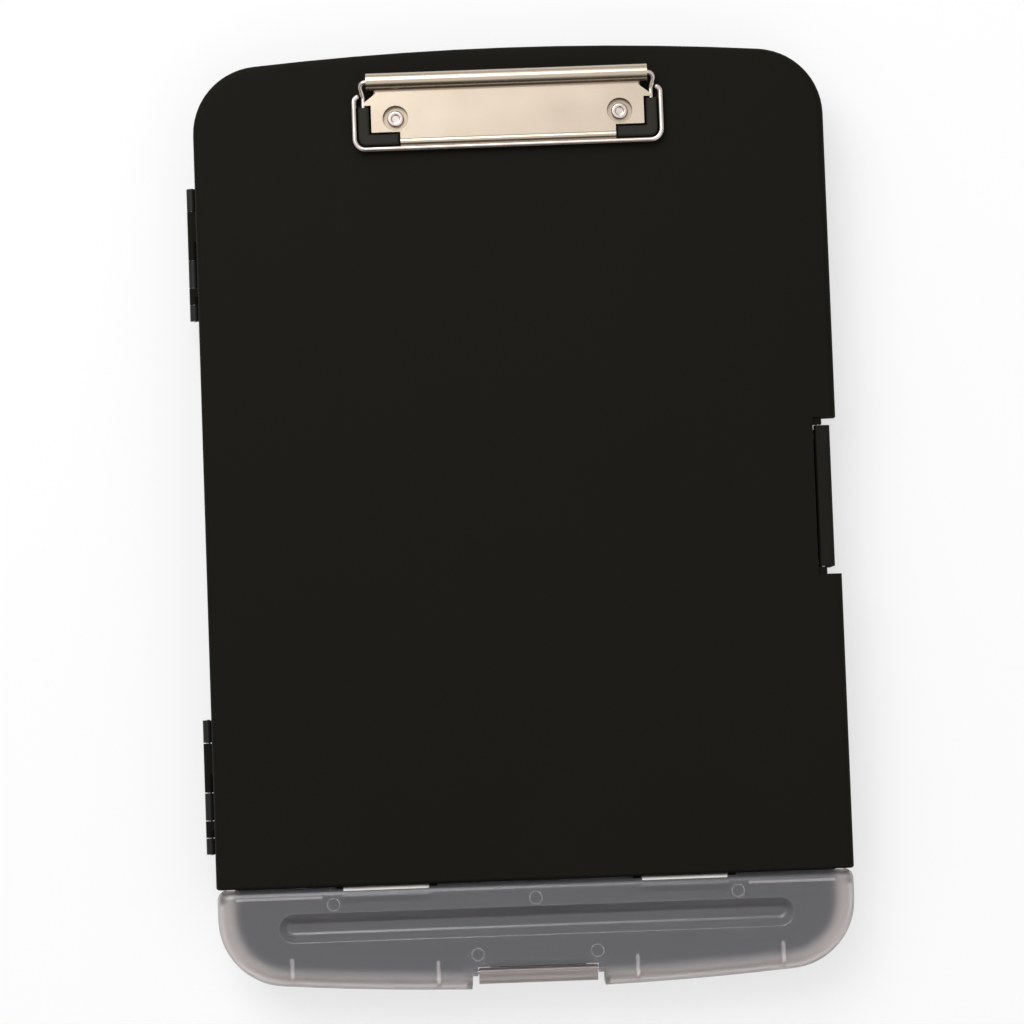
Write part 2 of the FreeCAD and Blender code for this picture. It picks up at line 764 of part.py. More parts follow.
def make_pen_latch(doc):
    body = new_body(doc, "pen_latch")
    pivot_y, pivot_z = pen_pivot()
    span = both_ways(s.pen_latch_half)
    drawing = sketch(body, "flap_section", "YZ_Plane", span[0])
    flap_section(drawing, -1, s.half_length, s.pen_lid_top)
    extrude(body, "flap", drawing, span[1] - span[0])
    soften(body, "flap_edge", s.latch_round,
           lambda edge: lies(edge, "Y", s.latch_face_in - s.half_length)
           and lies(edge, "Z", pivot_z + s.latch_barrel))
    rod(body, "barrel", "x", span, (pivot_y, pivot_z), s.latch_barrel)
    rod(body, "bore", "x", span, (pivot_y, pivot_z), s.latch_pin_radius + s.running_fit, cut=True)
    return body


def make_pin(doc, name, along, half, radius, centre):
    """A plain steel pin with chamfered ends, modelled about its own middle."""
    body = new_body(doc, name, *centre)
    rod(body, "pin", along, both_ways(half), (0, 0), radius)
    ends = along.upper()
    soften(body, "pin_ends", s.pin_chamfer,
           lambda edge: lies(edge, ends, half) or lies(edge, ends, -half), "Chamfer")
    return body


def make_pins(doc):
    pins = []
    for word, (arms, _) in side_hinges().items():
        front, rear = arms[-1][0], arms[0][1]
        axis_x, axis_z = side_axis()
        centre = (axis_x, (front + rear) / 2, axis_z)
        half = (rear - front) / 2 + s.pin_proud
        pins.append(make_pin(doc, f"{word}_hinge_pin", "y", half, s.pin_radius, centre))
    (low, _), (_, high) = post_spans()
    for word, side in SIDES.items():
        centre = (side * (low + high) / 2, *pen_axis())
        pins.append(make_pin(doc, f"pen_hinge_pin_{word}", "x", (high - low) / 2, s.pin_radius, centre))
    side_x, side_z = side_pivot()
    pins.append(make_pin(doc, "side_latch_pin", "y", s.side_recess_half - s.side_gap,
                         s.latch_pin_radius, (side_x, s.side_latch_middle, side_z)))
    pins.append(make_pin(doc, "pen_latch_pin", "x", s.pen_recess_half - s.side_gap,
                         s.latch_pin_radius, (0, *pen_pivot())))
    return pins


def make_pen_lid(doc):
    body = new_body(doc, "pen_lid")
    back = -s.pen_lid_back
    axis_y = pen_axis()[0]
    ceiling = s.pen_lid_top - s.pen_panel
    drawing = sketch(body, "lid_outline", "XY_Plane", s.pen_lid_bottom)
    outline(drawing, 0, back, -1)
    extrude(body, "lid_block", drawing, s.pen_lid_top - s.pen_lid_bottom)
    soften(body, "lid_edge", s.pen_round,
           lambda edge: lies(edge, "Z", s.pen_lid_top) and not lies(edge, "Y", back))
    soften(body, "lid_back_edge", s.pen_barrel,
           lambda edge: lies(edge, "Z", s.pen_lid_top) and lies(edge, "Y", back))
    drawing = sketch(body, "lid_hollow_outline", "XY_Plane", s.pen_lid_bottom)
    outline(drawing, s.pen_skirt, axis_y, -1)
    extrude(body, "lid_hollow", drawing, ceiling - s.pen_lid_bottom, cut=True)
    soften(body, "lid_inner_edge", s.pen_round - s.pen_skirt,
           lambda edge: lies(edge, "Z", ceiling) and edge.BoundBox.YMin < number(axis_y) - NEAR)
    add_back_curl(body, back, ceiling)
    add_pen_groove(body, ceiling)
    add_pen_recess(body)
    add_gussets(body)
    add_pen_barrels(body)
    add_mould_rings(body, ceiling)
    return body


def add_back_curl(body, back, ceiling):
    """Hollows the back edge to a curl round the hinge's axis, with room for the four ears."""
    axis_y, axis_z = pen_axis()
    width = both_ways(s.half_width - s.pen_skirt)
    behind = (axis_y, back + s.overrun)
    rod(body, "curl_hollow", "x", width, (axis_y, axis_z), s.pen_barrel - s.back_curl_wall, cut=True)
    block(body, "curl_open", width, behind, (s.pen_lid_bottom - s.overrun, axis_z), cut=True)
    ears = [(low - s.side_gap, high + s.side_gap) for low, high in post_spans()]
    spans = [mirrored(ear, side) for side in SIDES.values() for ear in ears]
    slabs(body, "ear_windows", [(x, behind) for x in spans], (axis_z, ceiling), cut=True)


def add_pen_groove(body, ceiling):
    """The trough on top where a pen rests, with its skin bulging into the lid below."""
    middle = -s.groove_middle
    half_length = s.groove_half_length - s.groove_width / 2
    bottom = s.pen_lid_top - s.groove_depth
    wide, narrow = s.groove_width / 2, s.groove_floor_width / 2
    shapes = {
        "groove_skin": (ceiling, bottom - s.pen_panel, s.groove_skin, False),
        "groove": (s.pen_lid_top, bottom, 0, True),
    }
    for name, (top, low, extra, cut) in shapes.items():
        upper = sketch(body, f"{name}_top", "XY_Plane", top)
        slot(upper, middle, half_length, wide + extra)
        lower = sketch(body, f"{name}_bottom", "XY_Plane", low)
        slot(lower, middle, half_length, narrow + extra)
        loft(body, name, lower, upper, cut)
    soften(body, "groove_floor_edge", s.groove_floor_round, lambda edge: lies(edge, "Z", bottom))
    soften(body, "groove_skin_edge", s.groove_floor_round,
           lambda edge: lies(edge, "Z", bottom - s.pen_panel))
    soften(body, "groove_rim", s.groove_rim_round,
           lambda edge: lies(edge, "Z", s.pen_lid_top) and within(edge, "Y", both_ways(wide, middle)))


def add_pen_recess(body):
    """The recess for the front latch: curtain wall, two cheeks and two ears with the pin's holes."""
    front = -s.half_length
    curtain = front + s.curtain_in
    low = s.pen_tray_height + s.side_gap
    pivot_y, pivot_z = pen_pivot()
    half = s.pen_recess_half
    add_front_rib(body, "recess_block", both_ways(half + s.cheek_wall),
                  (front, curtain + s.curtain_wall), s.pen_lid_bottom)
    block(body, "recess", both_ways(half), (front - s.overrun, curtain),
          (s.pen_lid_bottom - s.overrun, s.pen_lid_top + s.overrun), cut=True)
    block(body, "curtain_foot", both_ways(half), (front, curtain + s.curtain_wall + s.overrun),
          (s.pen_lid_bottom - s.overrun, low), cut=True)
    ear = (s.pen_latch_half + s.side_gap, half + s.cheek_wall / 2)
    spans = [mirrored(ear, side) for side in SIDES.values()]
    slabs(body, "ears", [(x, (pivot_y, curtain + s.curtain_wall / 2)) for x in spans],
          both_ways(s.latch_barrel, pivot_z))
    turned(body, "ear_ends", "x", pen_pivot(), s.latch_barrel, spans)
    rod(body, "ear_bore", "x", both_ways(half), (pivot_y, pivot_z),
        s.latch_pin_radius + s.press_fit, cut=True)


def add_front_rib(body, name, across, along, low):
    """An upright rib that reaches from the front skirt back under the panel. Its front follows the
    lid's rounded edge inside the wall."""
    front, back = along
    depth = s.pen_skirt / 2
    bend = s.pen_round - (s.pen_round - depth) * math.cos(math.pi / 4)
    drawing = sketch(body, f"{name}_section", "YZ_Plane", across[0])
    polygon(drawing, [
        (front + depth, low),
        (front + depth, s.pen_lid_top - s.pen_round),
        (front + bend, s.pen_lid_top - bend),
        (front + s.pen_round, s.pen_lid_top - depth),
        (back, s.pen_lid_top - depth),
        (back, low)])
    extrude(body, name, drawing, across[1] - across[0])


def add_gussets(body):
    """Four upright ribs between the panel and the front skirt."""
    for row, middle, back in (("outer", s.outer_gusset_place, s.outer_gusset_back),
                              ("inner", s.inner_gusset_place, s.inner_gusset_back)):
        bow = middle * middle / (2 * s.end_radius)
        for word, side in SIDES.items():
            add_front_rib(body, f"{row}_gusset_{word}",
                          mirrored(both_ways(s.gusset_wall / 2, middle), side),
                          (bow - s.half_length, -back), s.pen_tray_height + s.side_gap)


def add_pen_barrels(body):
    """The two hinge barrels along the lid's back edge and the short walls beside them."""
    barrels = [mirrored((s.pen_barrel_start, s.pen_barrel_end), side) for side in SIDES.values()]
    turned(body, "barrels", "x", pen_axis(), s.pen_barrel, barrels)
    rod(body, "barrel_bore", "x", both_ways(s.pen_barrel_end), pen_axis(),
        s.pin_radius + s.running_fit, cut=True)
    rear = -s.pen_lid_back - s.back_strip_in
    walls = [mirrored((s.back_strip_start, s.back_strip_end), side) for side in SIDES.values()]
    slabs(body, "back_walls", [(x, (rear - s.back_strip_wall, rear)) for x in walls],
          (s.back_strip_bottom, s.pen_lid_top - s.pen_panel / 2))


def add_mould_rings(body, ceiling):
    """Shallow ring marks that the mould's ejector pins leave on the panel's underside."""
    places = [(0, -s.rear_ring_back)]
    for side in SIDES.values():
        places.append((side * s.rear_ring_place, -s.rear_ring_back))
        places.append((side * s.front_ring_place, -s.front_ring_back))
    drawing = sketch(body, "mould_ring_marks", "XY_Plane", ceiling)
    for x, y in places:
        ring(drawing, x, y, s.mould_ring_radius)
        ring(drawing, x, y, s.mould_ring_radius - s.mould_ring_width)
    extrude(body, "mould_rings", drawing, s.mould_ring_depth, cut=True)


def clip_axle():
    """Y and Z of the clip jaw's axle."""
    return (s.clip_axle_back, s.case_height + s.clip_axle_rise)


def make_clip_base_plate(doc):
    body = new_body(doc, "clip_base_plate")
    top = s.case_height + s.sheet
    rear = s.clip_axle_back + s.curl_radius
    bore = s.wire_radius + s.running_fit
    block(body, "plate", both_ways(s.base_plate_half), (s.base_plate_front, rear), (s.case_height, top))
    spans = [both_ways(s.curl_half, middle) for middle in (-s.curl_place, 0, s.curl_place)]
    slabs(body, "curl_stems", [(x, (s.clip_axle_back + bore, rear)) for x in spans],
          (s.case_height, clip_axle()[1]))
    turned(body, "curls", "x", clip_axle(), s.curl_radius, spans)
    rod(body, "curl_bore", "x", both_ways(s.base_plate_half), clip_axle(), bore, cut=True)
    holes(body, "rivet_holes", rivet_places(), s.rivet_radius + s.running_fit,
          (s.case_height, top + s.overrun))
    return body


def make_rivet(doc, word, side):
    """A semi-tubular rivet: dimpled head on the base plate, shank through the board, and a hollow
    tail rolled over the washer."""
    body = new_body(doc, f"clip_rivet_{word}", side * s.rivet_place, s.rivet_back)
    seat = s.case_height + s.sheet
    washer = s.case_height - s.board_panel - s.washer_thickness
    tail = washer - s.rivet_tail_height
    head = seat + s.rivet_head_height
    rod(body, "shank", "z", (tail, seat), (0, 0), s.rivet_radius)
    rod(body, "head", "z", (seat, head), (0, 0), s.rivet_head_radius)
    rod(body, "tail", "z", (tail, washer), (0, 0), s.rivet_tail_radius)
    soften(body, "head_edge", s.rivet_round, lambda edge: lies(edge, "Z", head))
    rod(body, "rivet_bore", "z", (tail - s.overrun, washer + s.washer_thickness), (0, 0),
        s.rivet_bore, cut=True)
    reach = s.rivet_dimple + s.rivet_dimple_round / 2
    rod(body, "dimple", "z", (head - s.rivet_dimple_depth, head + s.overrun), (0, 0),
        s.rivet_dimple, cut=True)
    for name, level in (("dimple_rim", head), ("dimple_foot", head - s.rivet_dimple_depth)):
        soften(body, name, s.rivet_dimple_round,
               lambda edge: lies(edge, "Z", level) and within(edge, "X", both_ways(reach)))
    return body


def make_washer(doc, word, side):
    body = new_body(doc, f"rivet_washer_{word}", side * s.rivet_place, s.rivet_back)
    top = s.case_height - s.board_panel
    span = (top - s.washer_thickness, top)
    rod(body, "washer", "z", span, (0, 0), s.washer_radius)
    rod(body, "hole", "z", span, (0, 0), s.rivet_radius + s.running_fit, cut=True)
    return body


def make_clip_lever_plate(doc):
    body = new_body(doc, "clip_lever_plate")
    axle_y, axle_z = clip_axle()
    low = s.case_height + s.lever_rise
    inside = s.ridge_radius - s.lever_sheet
    x = both_ways(s.ridge_half)
    rod(body, "ridge", "x", x, (axle_y, axle_z), s.ridge_radius)
    rod(body, "ridge_hollow", "x", x, (axle_y, axle_z), inside, cut=True)
    block(body, "ridge_open", x, both_ways(s.ridge_radius + s.overrun, axle_y),
          (axle_z - s.ridge_radius - s.overrun, axle_z), cut=True)
    block(body, "riser", x, (axle_y - s.ridge_radius, axle_y - inside), (low, axle_z))
    drawing = sketch(body, "lever_outline", "XY_Plane", low)
    polygon(drawing, lever_points(axle_y - inside))
    extrude(body, "lever", drawing, s.lever_sheet)
    frame_z = s.case_height + s.frame_rise
    hem = both_ways(s.lever_tongue_half)
    rod(body, "hem", "x", hem, (s.hem_back, frame_z), s.hem_radius)
    rod(body, "hem_hollow", "x", hem, (s.hem_back, frame_z), s.hem_radius - s.hem_wall, cut=True)
    rod(body, "wire_seat", "x", hem, (s.frame_front, frame_z), s.frame_wire + s.press_fit, cut=True)
    caps = [mirrored((s.ridge_half - s.ridge_cap, s.ridge_half), side) for side in SIDES.values()]
    turned(body, "caps", "x", clip_axle(), s.ridge_cap_radius, caps)
    rod(body, "cap_bore", "x", x, clip_axle(), s.wire_radius + s.press_fit, cut=True)
    holes(body, "rivet_windows", rivet_places(), s.lever_hole, (low, low + s.overrun))
    return body


def lever_points(rear):
    """Outline of the lever's flat part: right side from the rear to the hem, then its mirror."""
    front = s.hem_back
    right = [
        (s.lever_neck_half, rear),
        (s.lever_neck_half, s.lever_shoulder_back),
        (s.lever_shoulder_half, s.lever_shoulder_front + s.lever_sheet),
        (s.lever_shoulder_half, s.lever_shoulder_front),
        (s.lever_body_half, s.lever_shoulder_front),
        (s.lever_body_half, s.lever_body_front),
        (s.lever_tongue_half, s.lever_body_front),
        (s.lever_tongue_half, front),
    ]
    return right + [(-x, y) for x, y in reversed(right)]


def make_clip_frame_wire(doc):
    """A wire bent to a U in front of the hem, its two ends hooked in towards the spring wire."""
    body = new_body(doc, "clip_frame_wire")
    level = s.case_height + s.frame_rise
    half, front, rear, bend = s.frame_half, s.frame_front, s.frame_rear, s.frame_corner
    hook = s.frame_hook
    tip = half - hook
    route = sketch(body, "frame_route", "XY_Plane", level)
    left_hook = route.addGeometry(arc(-tip, rear - hook, hook, math.pi / 2, math.pi))
    left = route.addGeometry(Part.LineSegment(flat(-half, rear - hook), flat(-half, front + bend)))
    left_corner = route.addGeometry(arc(bend - half, front + bend, bend, math.pi, 1.5 * math.pi))
    bar = route.addGeometry(Part.LineSegment(flat(bend - half, front), flat(half - bend, front)))
    right_corner = route.addGeometry(arc(half - bend, front + bend, bend, 1.5 * math.pi, 2 * math.pi))
    right = route.addGeometry(Part.LineSegment(flat(half, front + bend), flat(half, rear - hook)))
    right_hook = route.addGeometry(arc(tip, rear - hook, hook, 0, math.pi / 2))
    link(route, "Tangent", left_hook, 2, left, 1)
    link(route, "Tangent", left, 2, left_corner, 1)
    link(route, "Tangent", left_corner, 2, bar, 1)
    link(route, "Tangent", bar, 2, right_corner, 1)
    link(route, "Tangent", right_corner, 2, right, 1)
    link(route, "Tangent", right, 2, right_hook, 1)
    link(route, "Vertical", left)
    link(route, "Horizontal", bar)
    link(route, "Vertical", right)
    place(route, left_hook, 1, -tip, rear)
    place(route, right_hook, 2, tip, rear)
    measure(route, "DistanceX", -1, 1, left, 1, size=-half)
    measure(route, "DistanceX", -1, 1, right, 2, size=half)
    measure(route, "DistanceY", -1, 1, bar, 1, size=front)
    for corner, size in ((left_hook, hook), (left_corner, bend), (right_corner, bend), (right_hook, hook)):
        measure(route, "Radius", corner, size=size)
    section = sketch(body, "frame_section", "YZ_Plane", -tip)
    ring(section, rear, level, s.frame_wire)
    pipe(body, "frame", section, route)
    soften(body, "frame_tips", s.frame_tip, lambda edge: lies(edge, "X", tip) or lies(edge, "X", -tip))
    return body


def grip_middle():
    """X and Y of the lines in the middle of a corner grip's two legs, and Z of their middle."""
    half = s.grip_width / 2
    return (s.grip_inner + half, s.grip_front + half, s.case_height + s.grip_gap + s.grip_height / 2)


def make_corner_grip(doc, word, side):
    """A rubber corner with a round channel for the spring wire's end."""
    body = new_body(doc, f"corner_grip_{word}")
    outer = s.grip_inner + s.grip_width
    rear = s.grip_front + s.grip_width
    points = [
        (s.grip_inner, s.grip_rear),
        (outer, s.grip_rear),
        (outer, s.grip_front),
        (s.grip_end, s.grip_front),
        (s.grip_end, rear),
        (s.grip_inner, rear),
    ]
    bottom = s.case_height + s.grip_gap
    drawing = sketch(body, "grip_outline", "XY_Plane", bottom)
    polygon(drawing, [(side * x, y) for x, y in points])
    extrude(body, "grip", drawing, s.grip_height)
    soften(body, "grip_corner", s.grip_corner,
           lambda edge: lies(edge, "X", side * outer) and lies(edge, "Y", s.grip_front))
    soften(body, "grip_edge", s.grip_round, lambda edge: lies(edge, "Z", bottom + s.grip_height))
    middle_x, middle_y, middle_z = grip_middle()
    bend = s.grip_bend
    route = sketch(body, "channel_route", "XY_Plane", middle_z)
    down = route.addGeometry(Part.LineSegment(flat(side * middle_x, s.grip_rear + s.overrun),
                                              flat(side * middle_x, middle_y + bend)))
    turns = (1.5 * math.pi, 2 * math.pi) if side > 0 else (math.pi, 1.5 * math.pi)
    corner = route.addGeometry(arc(side * (middle_x - bend), middle_y + bend, bend, *turns))
    along = route.addGeometry(Part.LineSegment(flat(side * (middle_x - bend), middle_y),
                                               flat(side * s.spring_tail, middle_y)))
    near, far = (2, 1) if side > 0 else (1, 2)
    link(route, "Tangent", down, 2, corner, near)
    link(route, "Tangent", corner, far, along, 1)
    link(route, "Vertical", down)
    link(route, "Horizontal", along)
    place(route, down, 1, side * middle_x, s.grip_rear + s.overrun)
    place(route, along, 2, side * s.spring_tail, middle_y)
    measure(route, "Radius", corner, size=bend)
    section = sketch(body, "channel_section", "XZ_Plane", -(s.grip_rear + s.overrun))
    ring(section, side * middle_x, middle_z, s.wire_radius + s.press_fit)
    pipe(body, "channel", section, route, cut=True)
    return body


def bent_wire(points, bends):
    """A route of straight runs through the points, with a tangent arc of its own radius at each
    inner point."""
    edges = []
    start = points[0]
    for before, corner, after, radius in zip(points, points[1:], points[2:], bends):
        inward = (corner - before).normalize()
        outward = (after - corner).normalize()
        turn = inward.getAngle(outward)
        reach = radius * math.tan(turn / 2)
        arc_start = corner - inward * reach
        arc_end = corner + outward * reach
        across = (outward - inward).normalize()
        arc_middle = corner + across * (radius / math.cos(turn / 2) - radius)
        edges.append(Part.LineSegment(start, arc_start).toShape())
        edges.append(Part.Arc(arc_start, arc_middle, arc_end).toShape())
        start = arc_end
    edges.append(Part.LineSegment(start, points[-1]).toShape())
    return Part.Wire(edges)


def make_clip_spring_wire(doc):
    """One spring wire: the jaw's axle in the middle, then on each side down and forward into the
    corner grip and round its corner."""
    middle_x, middle_y, middle_z = (number(size) for size in grip_middle())
    axle_y, axle_z = (number(size) for size in clip_axle())
    right = [
        Vector(number(s.spring_tail), middle_y, middle_z),
        Vector(middle_x, middle_y, middle_z),
        Vector(middle_x, number(s.spring_run_back), middle_z),
        Vector(middle_x + number(s.spring_out), axle_y, axle_z),
    ]
    left = [Vector(-point.x, point.y, point.z) for point in reversed(right)]
    bends = [number(size) for size in (s.grip_bend, s.spring_bend, s.spring_bend)]
    route = bent_wire(right + left, bends + bends[::-1])
    section = Part.Wire(Part.Circle(right[0], Vector(1, 0, 0), number(s.wire_radius)).toShape())
    wire = doc.addObject("Part::Feature", "clip_spring_wire")
    wire.Label = "clip_spring_wire"
    wire.Shape = route.makePipeShell([section], True, False)
    wire.Placement = Placement()
    return wire


def check(doc, parts):
    """Stops with a message where a feature failed, a part isn't one sound solid or a cut is empty."""
    for item in doc.Objects:
        if "Invalid" in item.State or "Error" in item.State:
            raise ValueError(f"{item.FullName} failed: {item.State}")
    for part in parts:
        if part.Shape.isNull() or not part.Shape.isValid() or len(part.Shape.Solids) != 1:
            raise ValueError(f"{part.Label} isn't one sound solid")
        before = None
        for item in getattr(part, "Group", []):
            if not item.isDerivedFrom("PartDesign::Feature"):
                continue
            cuts = "Subtractive" in item.TypeId or item.TypeId == "PartDesign::Pocket"
            if cuts and item.Shape.Volume >= before.Shape.Volume:
                raise ValueError(f"{item.Label} of {part.Label} cuts nothing")
            before = item


doc = FreeCAD.newDocument("storage_clipboard_box")
s = read_sizes(doc)
add_case_places(s)
add_clip_places(s)
parts = [
    make_base_tray(doc),
    make_board_lid(doc),
    make_side_latch(doc),
    make_pen_lid(doc),
    make_pen_latch(doc),
    *make_pins(doc),
    make_clip_base_plate(doc),
    make_clip_lever_plate(doc),
    make_clip_frame_wire(doc),
    make_clip_spring_wire(doc),
]
for word, side in SIDES.items():
    parts.append(make_rivet(doc, word, side))
    parts.append(make_washer(doc, word, side))
    parts.append(make_corner_grip(doc, word, side))
doc.recompute()
check(doc, parts)
os.makedirs("parts", exist_ok=True)
for part in parts:
    part.Shape.exportStep(f"parts/{part.Label}.step")
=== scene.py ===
import math

import bpy
from mathutils import Matrix, Vector


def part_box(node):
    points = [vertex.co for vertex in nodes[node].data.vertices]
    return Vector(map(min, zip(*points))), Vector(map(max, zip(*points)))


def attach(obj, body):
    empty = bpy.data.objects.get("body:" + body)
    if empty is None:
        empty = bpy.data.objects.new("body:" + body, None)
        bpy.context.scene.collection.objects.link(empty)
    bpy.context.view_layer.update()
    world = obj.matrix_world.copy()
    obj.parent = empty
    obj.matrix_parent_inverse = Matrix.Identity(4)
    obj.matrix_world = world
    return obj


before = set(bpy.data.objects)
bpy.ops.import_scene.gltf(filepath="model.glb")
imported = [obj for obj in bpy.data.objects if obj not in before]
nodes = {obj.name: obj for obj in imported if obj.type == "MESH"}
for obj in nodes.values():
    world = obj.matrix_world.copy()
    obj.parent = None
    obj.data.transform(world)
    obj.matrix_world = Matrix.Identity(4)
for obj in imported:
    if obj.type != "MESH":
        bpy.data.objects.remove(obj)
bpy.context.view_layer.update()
scene = bpy.context.scene
scene.view_settings.view_transform = "Standard"

# Camera: straight above the box, a little towards the pen compartment and tipped by three degrees,
# and turned so that the clip's end leans to the left of the picture.
tip = math.radians(3.1)
turn = math.radians(2.07)
board_top = Vector((0.0, 0.0, 0.026))
forward = Vector((0.0, math.sin(tip), -math.cos(tip)))
across = Vector((1.0, 0.0, 0.0))
upward = Vector((0.0, math.cos(tip), math.sin(tip)))
right = across * math.cos(turn) - upward * math.sin(turn)
up = across * math.sin(turn) + upward * math.cos(turn)
distance = 1.1975
aside, above = 0.00365, 0.00073
place = board_top - forward * distance - right * aside + up * above
camera_data = bpy.data.cameras.new("overhead_camera")
camera_data.sensor_width = 36.0
camera_data.lens = 115.3
camera_data.clip_start = 0.05
camera = bpy.data.objects.new("overhead_camera", camera_data)
scene.collection.objects.link(camera)
camera.matrix_world = Matrix((
    (right.x, up.x, -forward.x, place.x),
    (right.y, up.y, -forward.y, place.y),
    (right.z, up.z, -forward.z, place.z),
    (0.0, 0.0, 0.0, 1.0)))
scene.camera = camera

# Floor: a plain pale tabletop. The camera sees it partly as its own lit surface, with the soft shadow
# of the box, and partly as plain white.
bpy.ops.object.select_all(action="DESELECT")
bpy.ops.mesh.primitive_plane_add(size=8.0, location=(0.0, 0.0, -0.0002))
floor = bpy.context.object
floor.name = "tabletop"
tabletop = bpy.data.materials.new("pale_tabletop")
tabletop.use_nodes = True
tabletop_shader = tabletop.node_tree.nodes["Principled BSDF"]
tabletop_shader.inputs["Base Color"].default_value = (0.95, 0.95, 0.95, 1.0)
tabletop_shader.inputs["Roughness"].default_value = 0.9
tabletop_shader.inputs["Specular IOR Level"].default_value = 0.1
tabletop_nodes = tabletop.node_tree.nodes
tabletop_glow = tabletop_nodes.new("ShaderNodeEmission")
tabletop_ray = tabletop_nodes.new("ShaderNodeLightPath")
plain_white_part = 0.6
tabletop_share = tabletop_nodes.new("ShaderNodeMath")
tabletop_share.operation = "MULTIPLY"
tabletop_share.inputs[1].default_value = plain_white_part
tabletop_mix = tabletop_nodes.new("ShaderNodeMixShader")
tabletop_links = tabletop.node_tree.links
tabletop_links.new(tabletop_ray.outputs["Is Camera Ray"], tabletop_share.inputs[0])
tabletop_links.new(tabletop_share.outputs[0], tabletop_mix.inputs["Fac"])
tabletop_links.new(tabletop_shader.outputs[0], tabletop_mix.inputs[1])
tabletop_links.new(tabletop_glow.outputs[0], tabletop_mix.inputs[2])
tabletop_links.new(tabletop_mix.outputs[0], tabletop_nodes["Material Output"].inputs["Surface"])
floor.data.materials.append(tabletop)

# Room: its light is soft and even, and the camera sees it plain white. The bright metal and the clear
# plastic see it white overhead and dimmer along its walls, with one dark stretch straight in front
# that shows as the darker lines along the rounded metal.
room = bpy.data.worlds.new("white_room")
scene.world = room
room.use_nodes = True
room_nodes = room.node_tree.nodes
room_links = room.node_tree.links
lit = room_nodes["Background"]
lit.inputs["Color"].default_value = (1.0, 1.0, 1.0, 1.0)
lit.inputs["Strength"].default_value = 0.55
shown = room_nodes.new("ShaderNodeBackground")
shown.inputs["Strength"].default_value = 1.0
direction = room_nodes.new("ShaderNodeTexCoord")
heading = room_nodes.new("ShaderNodeSeparateXYZ")
room_links.new(direction.outputs["Generated"], heading.inputs[0])
ramps = {}
for ramp_name, stops in (
        ("walls", ((0.05, 0.62), (0.50, 0.75), (0.88, 1.0))),
        ("dim_height", ((0.10, 0.0), (0.22, 1.0), (0.78, 1.0), (0.92, 0.0)))):
    ramp = room_nodes.new("ShaderNodeValToRGB")
    ramp.color_ramp.interpolation = "EASE"
    for stop, level in stops:
        new = ramp.color_ramp.elements.new(stop)
        new.color = (level, level, level, 1.0)
    ramp.color_ramp.elements.remove(ramp.color_ramp.elements[0])
    ramp.color_ramp.elements.remove(ramp.color_ramp.elements[len(stops)])
    room_links.new(heading.outputs["Z"], ramp.inputs["Fac"])
    ramps[ramp_name] = ramp
sideways_share = room_nodes.new("ShaderNodeMath")
sideways_share.operation = "ABSOLUTE"
room_links.new(heading.outputs["X"], sideways_share.inputs[0])
dim_share = ramps["dim_height"].outputs["Color"]
for measured, bright, dim in (
        (heading.outputs["Y"], -0.20, -0.34), (sideways_share.outputs[0], 0.45, 0.25)):
    limit = room_nodes.new("ShaderNodeMapRange")
    limit.inputs["From Min"].default_value = bright
    limit.inputs["From Max"].default_value = dim
    room_links.new(measured, limit.inputs["Value"])
    narrowed = room_nodes.new("ShaderNodeMath")
    narrowed.operation = "MULTIPLY"
    room_links.new(dim_share, narrowed.inputs[0])
    room_links.new(limit.outputs["Result"], narrowed.inputs[1])
    dim_share = narrowed.outputs[0]
view = room_nodes.new("ShaderNodeMix")
view.data_type = "RGBA"
view.inputs["B"].default_value = (0.05, 0.035, 0.02, 1.0)
room_links.new(dim_share, view.inputs["Factor"])
room_links.new(ramps["walls"].outputs["Color"], view.inputs["A"])
ray = room_nodes.new("ShaderNodeLightPath")
white = room_nodes.new("ShaderNodeMix")
white.data_type = "RGBA"
white.inputs["B"].default_value = (1.0, 1.0, 1.0, 1.0)
room_links.new(ray.outputs["Is Camera Ray"], white.inputs["Factor"])
room_links.new(view.outputs["Result"], white.inputs["A"])
room_links.new(white.outputs["Result"], shown.inputs["Color"])
seen = room_nodes.new("ShaderNodeMath")
seen.operation = "MAXIMUM"
room_links.new(ray.outputs["Is Camera Ray"], seen.inputs[0])
room_links.new(ray.outputs["Is Glossy Ray"], seen.inputs[1])
either = room_nodes.new("ShaderNodeMath")
either.operation = "MAXIMUM"
room_links.new(seen.outputs[0], either.inputs[0])
room_links.new(ray.outputs["Is Transmission Ray"], either.inputs[1])
choice = room_nodes.new("ShaderNodeMixShader")
room_links.new(either.outputs[0], choice.inputs["Fac"])
room_links.new(lit.outputs[0], choice.inputs[1])
room_links.new(shown.outputs[0], choice.inputs[2])
room_links.new(choice.outputs[0], room_nodes["World Output"].inputs["Surface"])

# Studio light: one broad soft lamp behind the clip, left of the middle, and a weaker one in front.
for lamp_name, lamp_place, lamp_size, lamp_power in (
        ("rear_soft_lamp", (-0.5, 0.9, 1.3), 1.2, 17.0),
        ("front_soft_lamp", (0.8, -0.9, 1.1), 1.4, 3.0)):
    lamp_data = bpy.data.lights.new(lamp_name, "AREA")
    lamp_data.size = lamp_size
    lamp_data.energy = lamp_power
    lamp = bpy.data.objects.new(lamp_name, lamp_data)
    scene.collection.objects.link(lamp)
    lamp.location = lamp_place
    lamp.rotation_euler = (-Vector(lamp_place)).to_track_quat("-Z", "Y").to_euler()

